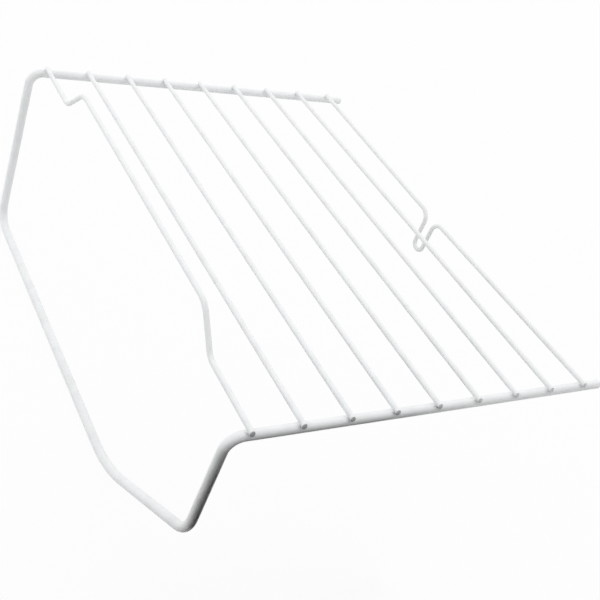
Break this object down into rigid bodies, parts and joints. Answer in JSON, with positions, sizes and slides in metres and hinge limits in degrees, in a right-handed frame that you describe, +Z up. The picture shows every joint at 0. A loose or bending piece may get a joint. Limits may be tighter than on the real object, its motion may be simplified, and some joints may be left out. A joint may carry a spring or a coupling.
{
  "type": "refrigerator wire shelf",
  "caption": "White coated wire shelf for a refrigerator: thin wires welded across a bent frame rod that drops at one side to form a leg, with a raised guard rail and a hanging stop loop.",
  "frame": {"origin": "middle of the right-hand edge: on the wall plane at the end of the front bar, halfway between the bars, at the level of the ledge under them", "axes": "+X towards the wall that the front bar ends at, +Y to the rear of the cabinet, +Z up"},
  "size_m": [0.2548, 0.3275, 0.1454],
  "materials": {
    "white_coating": "gloss"
  },
  "bodies": {
    "root": {"frame_rod": "white_coating", "guard_wire": "white_coating", "shelf_wire_1": "white_coating", "shelf_wire_2": "white_coating", "shelf_wire_3": "white_coating", "shelf_wire_4": "white_coating", "shelf_wire_5": "white_coating", "shelf_wire_6": "white_coating", "shelf_wire_7": "white_coating", "stop_wire": "white_coating"}
  },
  "joints": []
}
